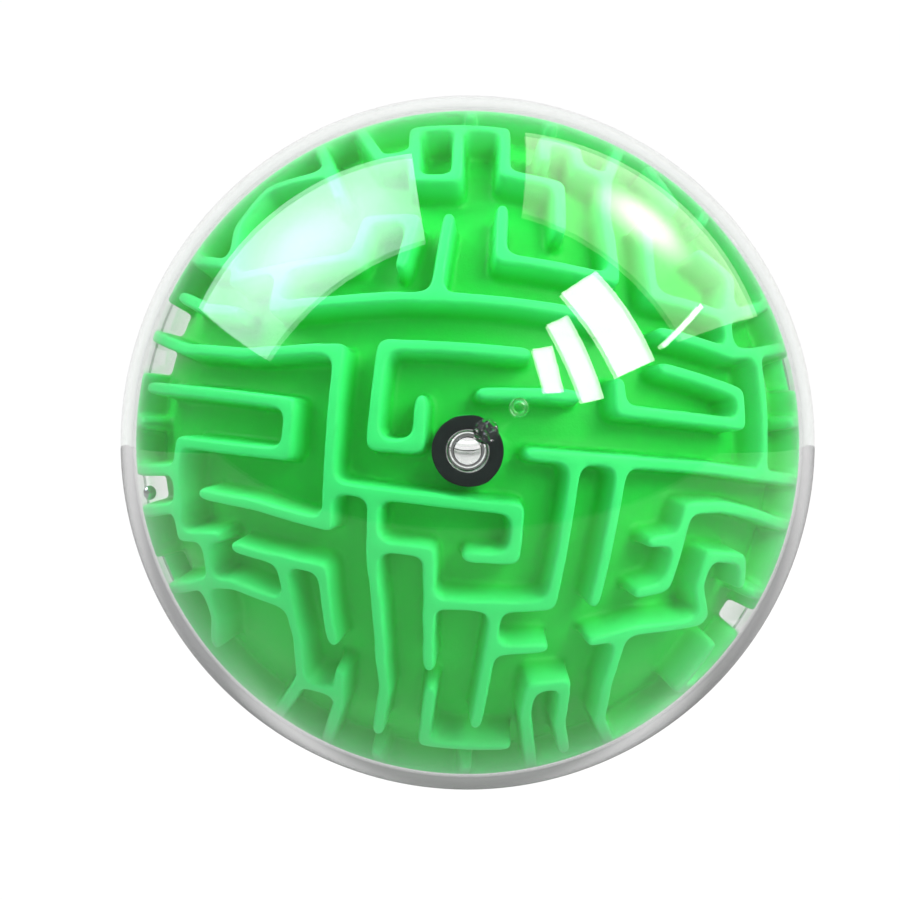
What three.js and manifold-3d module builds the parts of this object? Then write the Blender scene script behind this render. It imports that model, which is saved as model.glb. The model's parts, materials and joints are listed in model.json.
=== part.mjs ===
// Maze ball puzzle: a clear round casing in two halves, a hollow green maze core in two halves
// inside it, a rubber washer at each pole and one small steel ball that runs in the channels.
// Units are millimetres. The centre of the ball is the origin, +Z is up, and the polar axis,
// on which everything is turned, is Y: the front pole is at -Y and the rear pole at +Y.
import * as THREE from 'three';
import { mergeVertices } from 'three/addons/utils/BufferGeometryUtils.js';
import Module from 'manifold-3d';

const wasm = await Module();
wasm.setup();

// ---------------------------------------------------------------- driving dimensions
const CASING_RADIUS = 60;
const CASING_WALL = 2;
const CASING_TONGUE_DEPTH = 2.2; // how far the rear casing's tongue enters the front casing
const CASING_TONGUE_SHARE = 0.5; // of the wall's thickness

const MAZE_WALL_HEIGHT = 4.7;
const MAZE_WALL_TOP_WIDTH = 1.9;
const MAZE_WALL_FOOT_WIDTH = 2.5;
const MAZE_PITCH = THREE.MathUtils.degToRad(7.5); // one lattice step at a pole, as an angle
const MAZE_TURN = THREE.MathUtils.degToRad(-4); // the lattice's turn about the polar axis
const CORE_WALL = 2.4;
const CORE_TONGUE_DEPTH = 3;
const CORE_TONGUE_SHARE = 0.5;

const BOSS_DIAMETER = 5.4; // locating boss inside each pole of the casing
const BOSS_BORE = 4.2;
const BOSS_LENGTH = 9;
const HUB_WALL = 1.6; // tube through the core that the bosses enter
const WASHER_DIAMETER = 10.2;
const WASHER_THICKNESS = 1;
const PAD_SETBACK = 0.3; // the core's pole pad is this much smaller than the washer, all round

const BALL_DIAMETER = 2.5;
const BALL_POLAR_ANGLE = THREE.MathUtils.degToRad(81.4); // from the front pole
const BALL_AROUND_ANGLE = THREE.MathUtils.degToRad(188.8); // about the polar axis, from +X
const BALL_WAY_WIDTH = 4.8; // clear width between the two walls of its channel, at their tops
const BALL_WAY_FRONT_END = 7.35; // lattice steps from the front pole
const BALL_WAY_REAR_END = 8.2; // lattice steps from the rear pole

const OUTER_RING_ANGLE = THREE.MathUtils.degToRad(71.5); // of the ring round each maze, from its pole
const MIDDLE_RING_ANGLE = THREE.MathUtils.degToRad(79.6); // of the ring between it and the rim
const RIM_WIDTH = 4; // of the broad wall along the seam

const FIT_GAP = 0.3; // between pieces that seat on one another
const TOP_GAP = 0.6; // between the maze walls and the casing

// ---------------------------------------------------------------- dependent dimensions
const CASING_BORE = CASING_RADIUS - CASING_WALL;
const WALL_TOP = CASING_BORE - TOP_GAP;
const FLOOR = WALL_TOP - MAZE_WALL_HEIGHT;
const CORE_BORE = FLOOR - CORE_WALL;
const WALL_ROOT = FLOOR - CORE_WALL / 3; // the maze walls are rooted this deep in the core
const HUB_BORE = BOSS_DIAMETER + 2 * FIT_GAP;
const HUB_DIAMETER = HUB_BORE + 2 * HUB_WALL;
const PAD_DIAMETER = WASHER_DIAMETER - 2 * PAD_SETBACK;
const BALL_RADIUS = BALL_DIAMETER / 2;
const BALL_ORBIT = WALL_TOP - BALL_RADIUS;
const WALL_ANGLE = MAZE_WALL_FOOT_WIDTH / WALL_TOP; // a wall's width, as an angle at the centre
const RIM_ANGLE = (Math.PI - RIM_WIDTH / WALL_TOP) / 2; // from a pole to the rim's middle line

// ---------------------------------------------------------------- fineness of the solids
const CASING_TURN_STEPS = 40;
const CORE_TURN_STEPS = 28;
const WASHER_TURN_STEPS = 24;
const STEPS_PER_ARC = 0.25; // sections from pole to equator, as a share of those round the axis
const WALL_STEP = 2.2; // longest stretch of wall between two sections, in lattice steps
const BALL_STEPS = 16;
const NUDGE = 0.01; // lattice steps between two points that give a wall's course

// ---------------------------------------------------------------- maze layouts
// Each wall is a run of [across, up] lattice points, seen from its own pole, with the pole at
// [0, 0]. The flat square lattice is laid on the ball by stereographic projection, which keeps
// its corners square and makes its cells smaller towards the equator.
const FRONT_WALLS = [
  [[1.05, 1.95], [-1.8, 1.95], [-1.85, 0], [-0.95, 0], [-0.95, 0.95]],
  [[-11.4, 3.1], [-9.6, 2.6], [-7.4, 2], [-5, 1.75], [-2.7, 1.85], [-2.7, -1.7], [-4.5, -1.5],
    [-6.2, -1.5]],
  [[-2.7, -0.9], [1.05, -1.05], [1.05, -2.05], [0.1, -2.05]],
  [[-1.75, -0.95], [-1.75, -2], [-1.6, -3.7], [-1.5, -5.6], [-1.8, -7.5]],
  [[-1.75, -2], [-0.6, -2], [-0.5, -4.8]],
  [[-0.5, -3.1], [1.9, -3.05], [2.1, 0]],
  [[1.15, 0.02], [5.3, -0.05], [9, -0.3], [11.9, -0.5]],
  [[3.1, 0], [2.85, -3.05]],
  [[0.8, -3.05], [0.65, -6.7]],
  [[0.75, -4.15], [1.95, -4.1]],
  [[-0.45, -5.4], [-0.6, -7.65], [1.6, -7.7]],
  [[2.8, -10.4], [2.3, -8.3], [1.8, -6.2], [1.8, -5.25], [2.6, -5.2], [2.8, -6.8], [3.4, -8.6]],
  [[2.95, -4], [4.1, -3.8], [6.1, -3.9]],
  [[3.7, -3.85], [3.7, -5.4], [3.95, -6.9], [5.3, -9.4]],
  [[11.7, -2.1], [9.3, -1.65], [7.2, -1.15], [6, -0.95], [4.85, -0.95], [4.6, -2.75],
    [3.85, -2.85]],
  [[4.7, -1.65], [3.95, -1.7]],
  [[7.5, -3.2], [7.15, -2.35], [5.75, -2.1], [5.65, -2.9], [6.2, -3.85]],
  [[-9.4, 1.05], [-6, 0.85], [-3.7, 0.7], [-3.7, -0.35], [-7.1, -0.35], [-7.2, -2.8],
    [-5.6, -2.45]],
  [[-6.1, -2.6], [-6.1, -3.7]],
  [[-5.15, -2.6], [-2.8, -2.65], [-2.65, -4.5]],
  [[-3.8, -2.6], [-3.55, -4.6], [-3.65, -5.9], [-4.2, -6.9], [-5.9, -9.8]],
  [[-3.65, -3.7], [-5.3, -3.6], [-6.3, -3.85], [-9.3, -5.3]],
  [[-6.4, -3.9], [-6.3, -5], [-6.9, -6.3]],
  [[-2.55, -5.3], [-2.75, -6.6], [-3.9, -10]],
  [[-3.75, -6.15], [-2.7, -6.05]],
  [[-4.5, 3.8], [-4.5, 2.8], [-3, 2.9], [-0.85, 3], [1.8, 2.95], [2.9, 2.8]],
  [[-0.85, 3.05], [-0.75, 5.05]],
  [[0.4, 5.4], [0.4, 4], [2.9, 3.85], [2.85, 5.7], [3.1, 7.15], [4.2, 9.8]],
  [[-1.65, 3.7], [-1.5, 4.95], [-2.6, 4.95], [-2.7, 3.95], [-4.5, 3.8], [-6.1, 3.7]],
  [[-4.7, 11], [-3.75, 9], [-2.75, 7.2], [-1.85, 7.3], [-1.7, 6.25], [-0.7, 6.25], [-0.85, 8.7]],
  [[-2.1, 8.75], [0.42, 8.75], [0.42, 6.55], [1.75, 6.4], [1.7, 4.9]],
  [[-1.85, 7.3], [-2.1, 8.75]],
  [[3.1, 7.15], [2.35, 7.35], [2.4, 8.35], [1.5, 8.5], [1.45, 7.4]],
  [[-6, 10.2], [-4.85, 8.3], [-4.05, 6.85], [-3.5, 5.8]],
  [[-4.05, 6.85], [-6.3, 7], [-6.75, 5.6], [-6.2, 4.15], [-8.2, 4.85], [-10.2, 6]],
  [[-8.6, 3.75], [-6.9, 3.05], [-5.6, 2.8]],
  [[4, 5.9], [3.85, 4.5], [3.85, 3.65], [6.15, 3.65], [6.1, 2.7], [3.95, 2.8]],
  [[6.15, 3.65], [6.75, 5], [5.6, 5.45]],
  [[6.15, 3.65], [8, 4.5], [10.4, 5.9]],
  [[6.1, 2.7], [7.3, 2.95], [11.4, 4.3]],
  [[7.3, 2.95], [7.5, 0]],
  [[3.95, 2], [6.4, 1.75], [6.45, 1], [3, 1], [2.95, 1.6]],
  [[0.15, 1.1], [1.35, 1.2], [2.1, 1.2]],
  [[9.3, 1.3], [11.8, 1.7]],
  [[6.3, 6.9], [7.6, 8.6]],
  [[5.3, 7], [5, 8.9], [6.3, 9.7]],
  [[8.3, -3.6], [10.9, -4.6]],
  [[7.2, -5], [6.6, -6.6], [8.8, -7.9]],
  [[0.6, -9.2], [0.6, -11.6]],
  [[-2, -8.9], [-2.2, -11.6]],
  [[-9.7, 0], [-11.8, 0]],
  [[1.9, 9.9], [2.2, 11.7]],
  [[-0.6, 10.1], [-0.7, 11.8]],
];

const REAR_WALLS = [
  [[1, 1], [-1, 1], [-1, -1], [0, -1]],
  [[2, 2], [2, -1], [1, -1]],
  [[-2, 3], [-2, -2], [1, -2]],
  [[-2, 2], [1, 2], [1, 3]],
  [[2, 2], [3, 2], [3, 4]],
  [[-1, 3], [-1, 4], [2, 4], [2, 5]],
  [[-3, 4], [-3, 0], [-5, 0], [-5, 1]],
  [[-3, 2], [-4, 2]],
  [[-2, -2], [-2, -4], [0, -4], [0, -3]],
  [[1, -2], [1, -5], [-1, -5]],
  [[2, -2], [4, -2], [4, 1], [3, 1]],
  [[2, -3], [2, -6]],
  [[3, -3], [5, -3], [5, -1]],
  [[3, -4], [3, -6], [5, -6]],
  [[4, -4], [6, -4], [6, 0], [8, 0]],
  [[5, 1], [5, 3], [4, 3]],
  [[6, 1], [6, 4], [4, 4], [4, 6]],
  [[7, 1], [9.6, 1.2]],
  [[7, 2], [7, 4], [9.2, 5]],
  [[8, 2], [11.6, 2.8]],
  [[6, 5], [6, 6], [9, 8]],
  [[5, 5], [5, 8], [6.2, 10]],
  [[3, 6], [3, 8], [4, 11]],
  [[2, 6], [0, 6], [0, 8], [2, 8]],
  [[1, 5], [-2, 5], [-2, 7]],
  [[-1, 6], [-1, 9], [1.4, 9.6], [1.6, 11.7]],
  [[-3, 5], [-3, 8], [-2.6, 11.5]],
  [[-4, 3], [-4, 6], [-6, 6]],
  [[-5, 2], [-5, 5], [-7, 5], [-8.6, 6.8]],
  [[-4, 7], [-4.4, 9.4]],
  [[-5, 7], [-7, 9.4]],
  [[-6, 1], [-6, 4], [-8, 4]],
  [[-7, 1], [-7, 3], [-11.2, 4]],
  [[-6, 0], [-9, 0], [-9, 2]],
  [[-3, -1], [-3, -5], [-2, -5]],
  [[-4, -1], [-6, -1], [-6, -3]],
  [[-4, -2], [-4, -5], [-6, -5], [-7.6, -8.8]],
  [[-5, -2], [-5, -4]],
  [[-7, -1], [-7, -4], [-9.4, -5]],
  [[-8, -2], [-11.6, -2.8]],
  [[-8, -1], [-11.8, -1.2]],
  [[-7, -5.2], [-9.4, -7]],
  [[-3, -6], [-5, -6.2], [-5.6, -9]],
  [[-4, -7.2], [-4.6, -10.8]],
  [[-2, -6], [-2, -9], [0, -9.4]],
  [[0, -6], [-1, -6], [-1, -8]],
  [[1, -6], [1.2, -11.8]],
  [[2, -7], [4, -7], [4.6, -10.8]],
  [[6, -5], [6, -7.5], [5.2, -9]],
  [[7, -3.2], [10.6, -4.8]],
  [[7, -5], [9.4, -6.9]],
];

// Between each maze and the seam lie two rings, short spokes and the broad rim. Their places are
// in degrees about the polar axis, from +X towards +Z, and a gap is its clear stretch.
const CROSSINGS = [[-34.5, -30.5], [154.8, 167.2]]; // through the rings and the rim
const CROSSING_DIVIDER = 160.9;
const POCKETS = [[9.7, 15], [200.3, 205.5]]; // through the rings only
const MIDDLE_RING_GAPS = [[64, 70], [104, 110], [236, 242], [296, 302]];
const INNER_SPOKES = [55, 100, 135, 232, 290, 335]; // between the outer and the middle ring
const RIM_SPOKES = [35, 80, 118, 218, 262, 312, 350]; // between the middle ring and the rim

// ---------------------------------------------------------------- solids and booleans
function toSolid(geometry) {
  const bare = geometry.index ? geometry.toNonIndexed() : geometry.clone();
  bare.deleteAttribute('normal');
  bare.deleteAttribute('uv');
  const merged = mergeVertices(bare, 1e-5);
  const corners = merged.index.array;
  const kept = [];
  for (let i = 0; i < corners.length; i += 3) {
    const [a, b, c] = [corners[i], corners[i + 1], corners[i + 2]];
    if (a !== b && b !== c && c !== a) kept.push(a, b, c);
  }
  return new wasm.Manifold(new wasm.Mesh({
    numProp: 3,
    vertProperties: new Float32Array(merged.attributes.position.array),
    triVerts: new Uint32Array(kept),
  }));
}

function toGeometry(solid) {
  const mesh = solid.getMesh();
  const geometry = new THREE.BufferGeometry();
  geometry.setAttribute('position', new THREE.BufferAttribute(new Float32Array(mesh.vertProperties), 3));
  geometry.setIndex(new THREE.BufferAttribute(new Uint32Array(mesh.triVerts), 1));
  geometry.computeVertexNormals();
  return geometry;
}

const joined = (solids) => solids.reduce((sum, next) => sum.add(next));

// ---------------------------------------------------------------- turned pieces
// A profile is a list of [radius, height] points with the pole upwards.
const atHeight = (radius, height) => [Math.sqrt(radius * radius - height * height), height];
const atRadius = (sphere, radius) => [radius, Math.sqrt(sphere * sphere - radius * radius)];

function arc(sphere, fromPolar, toPolar, turnSteps) {
  const steps = Math.round(turnSteps * STEPS_PER_ARC);
  const points = [];
  for (let i = 0; i <= steps; i += 1) {
    const polar = fromPolar + ((toPolar - fromPolar) * i) / steps;
    points.push([sphere * Math.sin(polar), sphere * Math.cos(polar)]);
  }
  return points;
}

function polarOf([radius, height]) {
  return Math.atan2(radius, height);
}

// The edge of a half where it meets the other half: a tongue on the inside of the wall, or the
// recess that takes it. The points run from the outer surface to the inner one.
function tongueEdge(outer, inner, depth, share) {
  const tongueOuter = inner + (outer - inner) * share - FIT_GAP / 2;
  return [atHeight(outer, FIT_GAP / 2), [tongueOuter, FIT_GAP / 2], [tongueOuter, -depth],
    atHeight(inner, -depth)];
}

function recessEdge(outer, inner, depth, share) {
  const recess = inner + (outer - inner) * share + FIT_GAP / 2;
  const top = depth + FIT_GAP;
  return [atHeight(outer, FIT_GAP / 2), [recess, FIT_GAP / 2], [recess, top], atHeight(inner, top)];
}

function turned(profile, steps) {
  const points = profile.map(([radius, height]) => new THREE.Vector2(radius, height));
  return new THREE.LatheGeometry(points, steps);
}

function casingHalf(edge) {
  const bossOuter = BOSS_DIAMETER / 2;
  const bossInner = BOSS_BORE / 2;
  const bossFoot = atRadius(CASING_BORE, bossOuter);
  const bossEnd = bossFoot[1] - BOSS_LENGTH;
  return turned([
    [0, CASING_BORE],
    [bossInner, CASING_BORE],
    [bossInner, bossEnd],
    [bossOuter, bossEnd],
    ...arc(CASING_BORE, polarOf(bossFoot), polarOf(edge.at(-1)), CASING_TURN_STEPS),
    ...edge.slice(0, -1).reverse(),
    ...arc(CASING_RADIUS, polarOf(edge[0]), 0, CASING_TURN_STEPS).slice(1),
  ], CASING_TURN_STEPS);
}

function coreHalf(edge) {
  const hub = HUB_DIAMETER / 2;
  const bore = HUB_BORE / 2;
  const pad = PAD_DIAMETER / 2;
  const padTop = CASING_BORE - TOP_GAP - WASHER_THICKNESS - FIT_GAP;
  const hubFoot = atRadius(CORE_BORE, hub);
  const padFoot = atRadius(FLOOR, pad);
  return turned([
    [bore, padTop],
    [bore, FIT_GAP / 2],
    [hub, FIT_GAP / 2],
    ...arc(CORE_BORE, polarOf(hubFoot), polarOf(edge.at(-1)), CORE_TURN_STEPS),
    ...edge.slice(0, -1).reverse(),
    ...arc(FLOOR, polarOf(edge[0]), polarOf(padFoot), CORE_TURN_STEPS).slice(1),
    [pad, padTop],
    [bore, padTop],
  ], CORE_TURN_STEPS);
}

function washer() {
  const top = CASING_BORE - TOP_GAP;
  const bottom = top - WASHER_THICKNESS;
  const outer = WASHER_DIAMETER / 2;
  const inner = BOSS_DIAMETER / 2 + FIT_GAP;
  const section = [[inner, top], [inner, bottom], [outer, bottom], [outer, top], [inner, top]];
  return turned(section, WASHER_TURN_STEPS);
}

// ---------------------------------------------------------------- maze walls
// Directions have the pole upwards, along +Y. Seen from outside at the pole with +Z up, the
// lattice's "across" runs to the right, which is -X, and its "up" runs along +Z.
const polarAt = (steps) => 2 * Math.atan((steps * MAZE_PITCH) / 2);
const stepsAt = (polar) => (2 * Math.tan(polar / 2)) / MAZE_PITCH;

function latticeDirection([across, up], side) {
  const polar = polarAt(Math.hypot(across, up));
  const around = Math.atan2(up, across) + MAZE_TURN * side;
  return new THREE.Vector3(
    -Math.sin(polar) * Math.cos(around),
    Math.cos(polar),
    Math.sin(polar) * Math.sin(around),
  );
}

// The flat lattice points that a wall passes, no further apart than WALL_STEP, with its free ends
// run on by half its width.
function wallStations(run) {
  const halfWidth = MAZE_WALL_TOP_WIDTH / 2 / WALL_TOP / MAZE_PITCH;
  const points = run.map(([across, up]) => new THREE.Vector2(across, up));
  const runOn = (end, next) => end.clone().sub(next).setLength(halfWidth).add(end);
  points[0] = runOn(points[0], points[1]);
  points[points.length - 1] = runOn(points.at(-1), points.at(-2));
  const stations = [points[0]];
  points.slice(1).forEach((to, i) => {
    const from = points[i];
    const steps = Math.max(1, Math.round(from.distanceTo(to) / WALL_STEP));
    for (let k = 1; k <= steps; k += 1) stations.push(from.clone().lerp(to, k / steps));
  });
  return stations;
}

// One wall with drafted sides: a four-cornered section at each station, mitred at the corners.
function wallSolid(run, side) {
  const stations = wallStations(run);
  const sections = stations.map((point, i) => {
    const before = point.clone().sub(stations[i - 1] ?? point).normalize();
    const after = (stations[i + 1] ?? point).clone().sub(point).normalize();
    const course = before.clone().add(after).normalize();
    const mitre = Math.max(before.dot(course), after.dot(course));
    const up = latticeDirection(point.toArray(), side);
    const ahead = latticeDirection(point.clone().addScaledVector(course, NUDGE).toArray(), side).sub(up);
    const aside = new THREE.Vector3().crossVectors(ahead, up).normalize();
    const corner = (radius, width) => (
      up.clone().multiplyScalar(radius).addScaledVector(aside, width / 2 / mitre)
    );
    return [
      corner(WALL_ROOT, -MAZE_WALL_FOOT_WIDTH),
      corner(WALL_ROOT, MAZE_WALL_FOOT_WIDTH),
      corner(WALL_TOP, MAZE_WALL_TOP_WIDTH),
      corner(WALL_TOP, -MAZE_WALL_TOP_WIDTH),
    ];
  });
  const index = [0, 1, 2, 0, 2, 3];
  for (let first = 0; first < 4 * (sections.length - 1); first += 4) {
    for (let k = 0; k < 4; k += 1) {
      const a = first + k;
      const b = first + ((k + 1) % 4);
      index.push(a, b + 4, b, a, a + 4, b + 4);
    }
  }
  const last = 4 * (sections.length - 1);
  index.push(last, last + 2, last + 1, last, last + 3, last + 2);
  const positions = sections.flat().flatMap((point) => point.toArray());
  const geometry = new THREE.BufferGeometry();
  geometry.setAttribute('position', new THREE.Float32BufferAttribute(positions, 3));
  geometry.setIndex(index);
  return toSolid(geometry);
}

// ---------------------------------------------------------------- rings, rim and crossings
const radians = (pair) => pair.map(THREE.MathUtils.degToRad);

function bandPoint(polar, angle, side) {
  const around = side > 0 ? angle - MAZE_TURN : Math.PI - angle + MAZE_TURN;
  const steps = stepsAt(polar);
  return [steps * Math.cos(around), steps * Math.sin(around)];
}

const spoke = (angle, from, to, side) => [bandPoint(from, angle, side), bandPoint(to, angle, side)];

// The walls on both sides of a gap, on the lines from the pole.
const cheeks = ([low, high], from, to, side) => [
  spoke(low - WALL_ANGLE / 2, from, to, side),
  spoke(high + WALL_ANGLE / 2, from, to, side),
];

// A wedge round the polar axis that clears a gap, up to the middle of the walls beside it.
function gapWedge([low, high], side) {
  const reach = 2 * CASING_RADIUS;
  const corner = (angle) => new THREE.Vector2(
    -side * reach * Math.cos(angle),
    reach * Math.sin(angle),
  );
  const outline = new THREE.Shape([
    new THREE.Vector2(),
    corner(low - WALL_ANGLE / 2),
    corner(high + WALL_ANGLE / 2),
  ]);
  const wedge = new THREE.ExtrudeGeometry(outline, { depth: reach, bevelEnabled: false });
  return toSolid(wedge.rotateX(Math.PI / 2).translate(0, reach, 0));
}

// A turned ring with drafted sides, without its gaps.
function ring(polar, topWidth, gaps, side) {
  const footWidth = topWidth + MAZE_WALL_FOOT_WIDTH - MAZE_WALL_TOP_WIDTH;
  const corner = (radius, width) => {
    const angle = polar + width / 2 / WALL_TOP;
    return [radius * Math.sin(angle), radius * Math.cos(angle)];
  };
  const section = [
    corner(WALL_ROOT, -footWidth),
    corner(WALL_ROOT, footWidth),
    corner(WALL_TOP, topWidth),
    corner(WALL_TOP, -topWidth),
    corner(WALL_ROOT, -footWidth),
  ];
  const whole = toSolid(turned(section, CORE_TURN_STEPS));
  return gaps.reduce((left, gap) => left.subtract(gapWedge(gap, side)), whole);
}

// The ball's own channel runs out from a cross wall in the front half, over the equator, to a
// cross wall in the rear half. The ball rests on the lower of its two long walls.
const ballWayHigh = BALL_AROUND_ANGLE + Math.asin((BALL_RADIUS + FIT_GAP) / BALL_ORBIT);
const ballWay = [ballWayHigh - BALL_WAY_WIDTH / WALL_TOP, ballWayHigh];

function ballWayRun(endSteps, side) {
  const [low, high] = cheeks(ballWay, polarAt(endSteps), Math.PI / 2, side);
  return [...low.reverse(), ...high];
}

function spokesAndCheeks(crossings, pockets, side) {
  return [
    ...[...crossings, ...pockets].flatMap((gap) => cheeks(gap, OUTER_RING_ANGLE, Math.PI / 2, side)),
    spoke(THREE.MathUtils.degToRad(CROSSING_DIVIDER), OUTER_RING_ANGLE, Math.PI / 2, side),
    ...radians(INNER_SPOKES).map((at) => spoke(at, OUTER_RING_ANGLE, MIDDLE_RING_ANGLE, side)),
    ...radians(RIM_SPOKES).map((at) => spoke(at, MIDDLE_RING_ANGLE, RIM_ANGLE, side)),
  ];
}

function mazeWalls(runs, ballWayEnd, side) {
  const [crossings, pockets, middleGaps] = [CROSSINGS, POCKETS, MIDDLE_RING_GAPS]
    .map((gaps) => gaps.map(radians));
  const through = [...crossings, ballWay];
  const walls = [...runs, ...spokesAndCheeks(crossings, pockets, side), ballWayRun(ballWayEnd, side)];
  const span = 2 * CASING_RADIUS;
  const aboveSeam = new THREE.BoxGeometry(span, span, span).translate(0, span / 2 + FIT_GAP / 2, 0);
  return joined([
    ...walls.map((run) => wallSolid(run, side)),
    ring(OUTER_RING_ANGLE, MAZE_WALL_TOP_WIDTH, [...through, ...pockets], side),
    ring(MIDDLE_RING_ANGLE, MAZE_WALL_TOP_WIDTH, [...through, ...pockets, ...middleGaps], side),
    ring(RIM_ANGLE, RIM_WIDTH, through, side),
  ]).intersect(toSolid(aboveSeam));
}

// ---------------------------------------------------------------- materials
const finish = (color, roughness, metalness, rest = {}) => new THREE.MeshStandardMaterial({
  color, roughness, metalness, ...rest,
});
const clearPlastic = finish(0xf2f6f5, 0.03, 0, { transparent: true, opacity: 0.25 });
const greenPlastic = finish(0x2fd45f, 0.4, 0);
const blackRubber = finish(0x1c2320, 0.8, 0);
const polishedSteel = finish(0xc9ccd0, 0.12, 1);

// ---------------------------------------------------------------- assembly
const mazeBall = new THREE.Group();

function addPiece(parent, name, geometry, material) {
  const piece = new THREE.Mesh(geometry, material);
  piece.name = name;
  parent.add(piece);
  return piece;
}

function addHalf(end, walls, ballWayEnd, side, casingEdge, coreEdge) {
  const half = new THREE.Group();
  half.rotation.z = side < 0 ? 0 : Math.PI;
  mazeBall.add(half);
  const casingRim = casingEdge(CASING_RADIUS, CASING_BORE, CASING_TONGUE_DEPTH, CASING_TONGUE_SHARE);
  const coreRim = coreEdge(FLOOR, CORE_BORE, CORE_TONGUE_DEPTH, CORE_TONGUE_SHARE);
  const core = toSolid(coreHalf(coreRim)).add(mazeWalls(walls, ballWayEnd, side));
  addPiece(half, `${end}_shell`, toGeometry(toSolid(casingHalf(casingRim))), clearPlastic);
  addPiece(half, `${end}_maze_core`, toGeometry(core), greenPlastic);
  addPiece(half, `${end}_washer`, toGeometry(toSolid(washer())), blackRubber);
}

addHalf('front', FRONT_WALLS, BALL_WAY_FRONT_END, 1, recessEdge, recessEdge);
addHalf('rear', REAR_WALLS, BALL_WAY_REAR_END, -1, tongueEdge, tongueEdge);

const steelBall = addPiece(
  mazeBall,
  'steel_ball',
  new THREE.SphereGeometry(BALL_RADIUS, BALL_STEPS, BALL_STEPS / 2),
  polishedSteel,
);
steelBall.position.set(
  BALL_ORBIT * Math.sin(BALL_POLAR_ANGLE) * Math.cos(BALL_AROUND_ANGLE),
  -BALL_ORBIT * Math.cos(BALL_POLAR_ANGLE),
  BALL_ORBIT * Math.sin(BALL_POLAR_ANGLE) * Math.sin(BALL_AROUND_ANGLE),
);

export default mazeBall;
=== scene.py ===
import json
import math

import bpy
import numpy as np
from mathutils import Matrix, Vector, noise
from mathutils.bvhtree import BVHTree
from mathutils.geometry import delaunay_2d_cdt
from mathutils.kdtree import KDTree


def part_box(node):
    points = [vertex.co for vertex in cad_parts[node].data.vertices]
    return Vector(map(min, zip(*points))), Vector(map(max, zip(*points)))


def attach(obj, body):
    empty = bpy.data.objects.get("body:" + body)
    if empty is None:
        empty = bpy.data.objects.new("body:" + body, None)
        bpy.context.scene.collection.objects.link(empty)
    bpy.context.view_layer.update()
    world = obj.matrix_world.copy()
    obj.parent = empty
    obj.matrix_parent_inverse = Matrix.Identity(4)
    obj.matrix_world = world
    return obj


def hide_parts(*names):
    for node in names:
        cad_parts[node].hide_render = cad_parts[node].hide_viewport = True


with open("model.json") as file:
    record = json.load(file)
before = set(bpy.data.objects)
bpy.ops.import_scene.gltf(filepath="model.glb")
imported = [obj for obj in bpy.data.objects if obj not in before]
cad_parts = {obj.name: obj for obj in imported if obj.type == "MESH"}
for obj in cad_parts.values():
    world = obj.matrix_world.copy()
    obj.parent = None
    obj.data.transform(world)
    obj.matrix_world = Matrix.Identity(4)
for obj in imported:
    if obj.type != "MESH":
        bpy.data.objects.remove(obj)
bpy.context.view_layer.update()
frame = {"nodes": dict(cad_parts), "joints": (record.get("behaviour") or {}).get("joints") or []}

# ---------------------------------------------------------------- sizes, in millimetres
MM = 0.001

CASING_RADIUS = 60
CASING_WALL = 2
CASING_TONGUE_DEPTH = 2.2
SEAM_GAP = 0.12  # between the two halves of the casing
BOSS_RADIUS = 2.7
BOSS_BORE_RADIUS = 2.1
BOSS_LENGTH = 9

WALL_HEIGHT = 4.7
CORE_WALL = 2.4
CORE_TONGUE_DEPTH = 3
CORE_SEAM_GAP = 0.3
HUB_BORE_RADIUS = 3
BORE_MARGIN = 0.02
HUB_RADIUS = 4.6
PAD_RADIUS = 4.8
WASHER_THICKNESS = 1
WASHER_RADIUS = 5.1
TOP_GAP = 0.6
FIT_GAP = 0.3
BALL_RADIUS = 1.25
CHANNEL_ROOM = 0.12  # from the ball to any corner of a wall's mesh
CHANNEL_STEP = 0.25  # between two places of the ball on its way, in degrees

CASING_BORE = CASING_RADIUS - CASING_WALL
WALL_TOP = CASING_BORE - TOP_GAP
FLOOR = WALL_TOP - WALL_HEIGHT
CORE_BORE = FLOOR - CORE_WALL
PAD_TOP = WALL_TOP - WASHER_THICKNESS - FIT_GAP

# How a maze wall falls from its top to the floor: distance outside the middle of its drafted
# side, and height above the floor.
WALL_FALL = [
    (-0.66, 4.7),
    (-0.47, 4.64),
    (-0.31, 4.46),
    (-0.19, 4.15),
    (-0.11, 3.7),
    (0.1, 1.35),
    (0.2, 0.75),
    (0.36, 0.36),
    (0.62, 0.12),
    (1.0, 0),
]
# The same for the round pad under a washer: distance from the polar axis, and height.
PAD_FALL = [(4.35, 3.4), (4.62, 3.28), (4.78, 3.0), (4.92, 0.6), (5.08, 0.25), (5.35, 0)]

# Marks that the mould leaves on the front casing, across and up from its pole.
GATE_MARK = (2.6, 2.8)
PIN_MARK = (7.3, 6.2)

# ---------------------------------------------------------------- fineness
TURN_STEPS = 192
FLAT_CELLS = 900  # across the flattened half on which its walls are traced
FLAT_REACH = 2.08  # from the pole to that square's side, in radii of the walls' tops
CORNER_SOFTNESS = 0.8  # of the walls' corners seen from above, in millimetres
EDGE_SOFTNESS = 0.45  # of the walls' drafted sides
TURN_SHARE = math.radians(17)  # turning between two points of a wall's edge
STRETCH = 1.7  # longest stretch of a wall's edge, in millimetres
FLOOR_STEP = 2.4
SEAM_STEPS = 480
HUB_STEPS = 64
WASHER_STEPS = 96
LINE_STEP = 0.16  # between two points of a wall's edge, before it is thinned
SHORTEST_LINE = 2.5
BELL_REACH = 3.5  # of the softening, in its own widths
SEAM_MARGIN = 0.35  # past this near to the seam, the walls are those just inside it
PAD_MARGIN = 0.5
PAST_SEAM = math.radians(93.5)
LEVEL_GROUND = 0.003  # share of wall below which a place is floor
INSIDE_TURN = 0.085  # between two rings of points on the core's inner side, in radians
INSIDE_STEP = 5
SPIN_WELD = 0.002


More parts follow.
